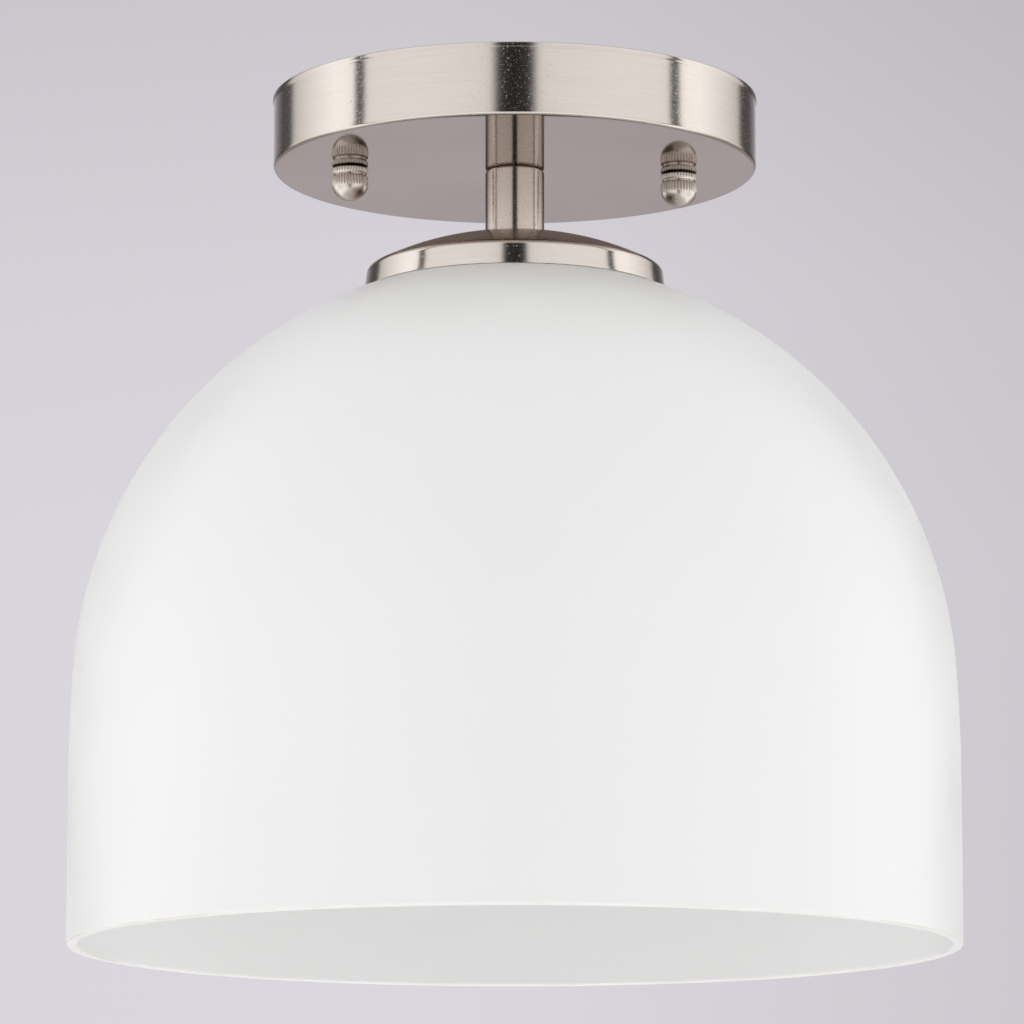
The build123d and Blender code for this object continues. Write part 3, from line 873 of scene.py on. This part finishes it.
def make_screw_shell(material):
    """The rolled shell: its sheet follows the lamp's thread."""
    outside, top, mouth = size_of("screw_shell")
    wide = outside - SHELL_SHEET
    neck = wide - SHELL_NECK_INSET
    neck_low = top - SHELL_NECK
    cone_low = neck_low - SHELL_CONE
    outline = rounded([
        (SHELL_HOLE, top, 0),
        (neck + SHELL_SHEET, top, 0.8),
        (neck + SHELL_SHEET, neck_low, 0.8),
        (outside, cone_low, 0.8),
        (outside, mouth, 0.25),
        (wide, mouth, 0.25),
        (wide, cone_low, 0.8),
        (neck, neck_low, 0.8),
        (neck, top - SHELL_SHEET, 0.3),
        (SHELL_HOLE, top - SHELL_SHEET, 0),
    ], 4)
    thread_top = cone_low - SHELL_PLAIN_TOP
    thread_low = mouth + SHELL_PLAIN_LOW

    def rolled(angle, distance, height):
        if height > thread_top:
            return distance, height
        fade = limited((thread_top - height) / SHELL_RUNOUT_TOP)
        fade *= limited((height - thread_low) / SHELL_RUNOUT_LOW)
        depth = LAMP_THREAD_DEPTH * fade * round_thread(angle, height, LAMP_THREAD_PITCH)
        return distance - depth, height

    piece = lathe("rolled_screw_shell", divided(outline, 0.35), 96, shape=rolled)
    place_piece(piece, "canopy", "nickel_brass", material, "screw_shell")


def make_ring(material):
    """The shade ring: a flange, a fluted collar and a thread inside."""
    flange, top, bottom = size_of("shade_ring")
    collar = flange - RING_FLANGE_REACH
    flange_low = top - RING_FLANGE_HEIGHT
    bore = SKIRT_RADIUS + RING_CLEAR
    thread_top = top - RING_THREAD_END
    thread_low = bottom + RING_THREAD_END
    outline = rounded([
        (bore, top, 0.5),
        (flange, top, 0.5),
        (flange, flange_low, 1.0),
        (collar, flange_low, 0),
        (collar, bottom, 0.75),
        (bore, bottom, 0.5),
    ])

    def fluted(angle, distance, height):
        if abs(distance - bore) < 0.02:
            fade = limited((thread_top - height) / RING_RUNOUT)
            fade *= limited((height - thread_low) / RING_RUNOUT)
            depth = RING_THREAD_DEPTH * fade * round_thread(angle, height, SKIRT_PITCH)
            return distance + depth, height
        step = 2 * pi / RING_FLUTES
        off = (angle + step / 2) % step - step / 2
        middle = collar + RING_FLUTE_RADIUS / 2
        across = middle * sin(off)
        if height > flange_low - 0.01 or abs(across) >= RING_FLUTE_RADIUS or distance < bore + 1:
            return distance, height
        valley = middle * cos(off) - sqrt(RING_FLUTE_RADIUS**2 - across**2)
        return min(distance, valley), height

    piece = lathe("fluted_shade_ring", divided(outline, 0.5), RING_FLUTES * 16, shape=fluted)
    place_piece(piece, "ring", "ring", material, "shade_ring")


def make_stud(side, material):
    """A threaded stud with a screwdriver slot in its upper end."""
    name = "canopy_stud_" + side
    radius, top, bottom = size_of(name)
    outline = rounded([(0, top, 0), (0, bottom, 0), (radius, bottom, 0.5), (radius, top, 0.2)], 4)

    def threaded(angle, distance, height):
        if distance < radius - 0.02:
            return distance, height
        depth = STUD_THREAD_DEPTH * (1 - pointed_thread(angle, height, STUD_PITCH))
        return distance - depth, height

    piece = lathe("threaded_stud_" + side, divided(outline, 0.1), 40, middle_of(name), threaded)
    slot = box("slot", middle_of(name), (3 * radius, STUD_SLOT, 2 * STUD_SLOT_DEPTH), top)
    cut(piece, slot)
    place_piece(piece, "bracket", "zinc", material, name)


def make_nipple(material):
    """The hollow tube; its thread shows above the canopy's sheet."""
    radius, top, bottom = size_of("threaded_nipple")
    bore = radius - NIPPLE_WALL
    thread_low = size_of("canopy")[2] + CANOPY_SHEET
    outline = rounded([
        (bore, top, 0.15),
        (bore, bottom, 0.15),
        (radius, bottom, 0.3),
        (radius, top, 0.3),
    ], 4)

    def threaded(angle, distance, height):
        if distance < radius - 0.02 or height < thread_low:
            return distance, height
        depth = NIPPLE_THREAD_DEPTH * (1 - pointed_thread(angle, height, NIPPLE_PITCH))
        return distance - depth, height

    piece = lathe("hollow_nipple", divided(outline, 0.117), 72, shape=threaded)
    place_piece(piece, "canopy", "zinc", material, "threaded_nipple")


def make_nipple_nut(material):
    """The hexagon nut on the nipple, with turned corners at both ends."""
    _, top, bottom = size_of("nipple_hex_nut")
    bore = HEX_NUT_BORE
    blank = HEX_NUT_WIDTH * 0.6          # past the corners, before they are shaped
    outline = rounded([
        (bore, top, 0.3),
        (blank, top, 0),
        (blank, bottom, 0),
        (bore, bottom, 0.3),
    ], 3)

    def cornered(angle, distance, height):
        if distance < bore + 0.35:
            return distance, height
        share = (distance - bore) / (blank - bore)
        end = min(top - height, height - bottom)
        turned = HEX_NUT_WIDTH / 2 * HEX_NUT_FACE + end * HEX_NUT_CHAMFER
        side = min(hexagon_radius(angle, HEX_NUT_WIDTH), turned)
        return bore + (side - bore) * share, height

    piece = lathe("nipple_nut", divided(outline, 0.16), 96, shape=cornered)
    place_piece(piece, "canopy", "zinc", material, "nipple_hex_nut")


# -------------------------------------------------------------------- studio
BACKDROP = (0.708, 0.678, 0.728)
PICTURE_SIDES = (-0.09, 0.09)        # directions of the picture's left and right edges
PICTURE_ENDS = (0.08, 0.28)          # and about those of its lower and upper edges
STUDIO = (               # degrees from the camera's side, strength of the light from there
    (0, 0.02), (8, 0.02), (11.2, 1.1), (20, 1.15), (45, 1.22), (78, 1.22), (79.4, 0.06),
    (84, 0.06), (85.4, 1.52), (98, 1.56), (104, 1.45), (112, 1.32), (122, 1.15), (132, 0.95),
    (138, 0.12), (149, 0.14), (157, 0.36), (164, 0.6), (172, 0.75), (180, 0.8),
)
STUDIO_PEAK = 1.6
STUDIO_TOP = 0.5         # light from straight above and below, as a share of the peak
STUDIO_LOW = 0.93
LEFT_TURN = 3.1          # degrees that the soft boxes on the left stand nearer to the camera
FRONT_DIMMING = 0.97     # of the light from the lower half at the front
FAR_SIDE = (1.0, 0.955, 1.03)        # the cast of the backdrop, as metal sees it
UNLIT_FLOOR = (0.45, 0.4, 0.38)      # what polished metal sees behind and below the light
FLOOR_DEPTH = 2.5        # metres, as the next two are
FLOOR_RADIUS = 30.0
FLOOR_FADE = (3.0, 14.0)             # distances at which the backdrop takes over


def camera_turned(tree, vector):
    """A vector in axes that are turned with the camera, which looks along +Y."""
    inputs = {"Vector": vector, "Angle": radians(CAMERA_TURN)}
    return node(tree, "VectorRotate", inputs, rotation_type="Z_AXIS")


def backdrop(tree, direction):
    """The plain backdrop: a pale grey with a lavender cast, darker at the top and right."""
    parts = node(tree, "SeparateXYZ", {0: direction})
    across = ramp(
        tree, ranged(tree, parts.outputs["X"], 0.0, 1.0, *PICTURE_SIDES),
        ((0.0, grey(0.985)), (0.4, grey(1.0)), (0.6, grey(0.97)), (1.0, grey(0.865))),
    )
    rising = ramp(
        tree, ranged(tree, parts.outputs["Z"], 0.0, 1.0, *PICTURE_ENDS),
        (
            (0.0, grey(1.0)), (0.38, grey(1.0)), (0.64, grey(0.95)), (0.88, grey(0.85)),
            (1.0, grey(0.8)),
        ),
    )
    shade = vectors(tree, "MULTIPLY", across, rising)
    return vectors(tree, "MULTIPLY", shade, BACKDROP).outputs[0]


def soft_boxes(tree, direction):
    """The light from round about, as a share of the peak."""
    level = vectors(tree, "NORMALIZE", flattened(tree, direction))
    toward = vectors(tree, "DOT_PRODUCT", level, (0, -1, 0)).outputs["Value"]
    turn = maths(tree, "DIVIDE", maths(tree, "ARCCOSINE", toward), pi)
    sideways = node(tree, "SeparateXYZ", {0: direction}).outputs["X"]
    left = ranged(tree, sideways, LEFT_TURN / 180, 0.0, -0.1, 0.0)
    off_front = ranged(tree, turn, 0.0, 1.0, 0.25, 0.4)
    turn = added(tree, turn, times(tree, left, off_front))
    light = ramp(tree, turn, [(angle / 180, grey(share / STUDIO_PEAK)) for angle, share in STUDIO])
    cast = blended(tree, ranged(tree, turn, 0.0, 1.0, 0.75, 0.9), grey(1.0), FAR_SIDE)
    return vectors(tree, "MULTIPLY", light, cast)


def make_world():
    """A studio of soft boxes for light and gloss, and the backdrop for the camera."""
    world = bpy.data.worlds.new("studio")
    world.use_nodes = True
    bpy.context.scene.world = world
    tree = world.node_tree
    tree.nodes.clear()
    path = node(tree, "LightPath")
    turned = camera_turned(tree, node(tree, "TexCoord").outputs["Generated"])
    parts = node(tree, "SeparateXYZ", {0: turned})
    depth, height = parts.outputs["Y"], parts.outputs["Z"]

    front = ranged(tree, depth, 1.0, 0.0, -0.5, 0.0)
    front_low = times(tree, front, ranged(tree, height, 1.0, 0.0, -0.1, 0.1))
    dimmer = ranged(tree, front_low, 1.0, FRONT_DIMMING)
    light = vectors(tree, "SCALE", soft_boxes(tree, turned), Scale=dimmer)

    high = ranged(tree, height, 0.0, 1.0, 0.5, 0.95)
    light = blended(tree, high, light, grey(STUDIO_TOP))
    deep = ranged(tree, height, 1.0, 0.0, -0.8, -0.5)
    light = blended(tree, deep, light, grey(STUDIO_LOW))

    behind = ranged(tree, depth, 0.0, 1.0, 0.3, 0.6)
    low = ranged(tree, height, 1.0, 0.0, -0.3, -0.25)
    not_deep = ranged(tree, height, 0.0, 1.0, -0.8, -0.6)
    unlit = times(tree, behind, low, not_deep, path.outputs["Is Glossy Ray"])
    light = blended(tree, unlit, light, tinted(UNLIT_FLOOR, 1 / STUDIO_PEAK))

    studio = node(tree, "Background", {"Color": light, "Strength": STUDIO_PEAK})
    plain = node(tree, "Background", {"Color": backdrop(tree, turned), "Strength": 1.0})
    mix = node(tree, "MixShader", {0: path.outputs["Is Camera Ray"], 1: studio, 2: plain})
    node(tree, "OutputWorld", {"Surface": mix})


def make_floor():
    """A pale floor far below, which fades into the backdrop."""
    turns = [2 * pi * i / 96 for i in range(96)]
    ring = [(FLOOR_RADIUS * cos(turn), FLOOR_RADIUS * sin(turn), -FLOOR_DEPTH) for turn in turns]
    floor = new_piece("floor", ring, [tuple(range(len(ring)))])
    material, tree, shader = new_material("floor", Roughness=0.9, Base_Color=(*BACKDROP, 1))
    place = node(tree, "NewGeometry").outputs["Position"]
    far = ranged(tree, length(tree, place), 0.0, 1.0, *FLOOR_FADE)
    direction = vectors(tree, "NORMALIZE", camera_turned(tree, place))
    glow = node(tree, "Emission", {"Color": backdrop(tree, direction), "Strength": 1.0})
    set_surface(tree, node(tree, "MixShader", {0: far, 1: shader, 2: glow}))
    floor.data.materials.append(material)
    floor.visible_glossy = False
    floor.visible_diffuse = False


def make_camera():
    """The camera where the photographer's stood."""
    data = bpy.data.cameras.new("camera")
    data.sensor_width = SENSOR
    data.lens = SENSOR * FOCAL_PIXELS / PICTURE_PIXELS
    data.clip_end = CAMERA_REACH
    camera = bpy.data.objects.new("camera", data)
    turn = radians(CAMERA_TURN)
    away = Vector((-sin(turn), -cos(turn), 0)) * CAMERA_DISTANCE
    side = Vector((cos(turn), -sin(turn), 0)) * CAMERA_SIDE
    camera.location = (away + side + Vector((0, 0, -CAMERA_DROP))) * MM
    camera.rotation_euler = (radians(90 + CAMERA_RISE), 0, -turn)
    bpy.context.scene.collection.objects.link(camera)
    bpy.context.scene.camera = camera


# ------------------------------------------------------------------ assembly
make_camera()
make_world()
make_floor()
bpy.context.scene.view_settings.view_transform = "Standard"

zinc = cloudy_metal("zinc_plate", (0.68, 0.69, 0.71), 0.82)
brass = cloudy_metal("brass", (0.78, 0.58, 0.27), 0.7)
black_plastic = moulded("bushing_plastic", (0.035, 0.035, 0.037), (0.02, 0.02, 0.02), 0.4)
silicone = moulded("gasket_silicone", (0.8, 0.8, 0.78), (0.74, 0.74, 0.72), 0.5)
spun_nickel = brushed_nickel("brushed_nickel", (0.585, 0.535, 0.495), 0.105)

make_canopy(spun_nickel)
make_cap(spun_nickel)
make_stem(brushed_nickel("drawn_nickel", (0.63, 0.555, 0.5), 0.255, drawn=0.2))
for side in ("left", "right"):
    make_cap_nut(side, plated_nickel("nut_nickel_" + side, middle_of("cap_nut_" + side)))
    make_stud(side, zinc)
make_glass(opal_glass())
make_porcelain(porcelain())
make_screw_shell(turned_metal("nickel_brass", (0.74, 0.7, 0.62), 0.28, 0.5))
make_ring(turned_metal("turned_aluminium", (0.78, 0.78, 0.78), 0.3, 0.35))
make_nipple(zinc)
make_nipple_nut(zinc)

dress_node("crossbar", zinc, bevel=0.25)
dress_node("stud_lock_nuts", zinc, bevel=0.2)
dress_node("lock_washer", zinc, bevel=0.1)
dress_node("ground_screw", green_lacquer(), bevel=0.12)
dress_node("wire_bushing", black_plastic)
dress_node("shade_gasket", silicone)
dress_node("contact_tongue", brass, bevel=0.1)
for name in ("terminal_plate_line", "terminal_screw_line", "contact_foot", "contact_rivet"):
    dress_node(name, brass)
for name in ("lampholder_hub", "hub_set_screw", "hub_screws"):
    dress_node(name, zinc)
for name in ("terminal_plate_neutral", "terminal_screw_neutral", "shell_rivets"):
    dress_node(name, zinc)
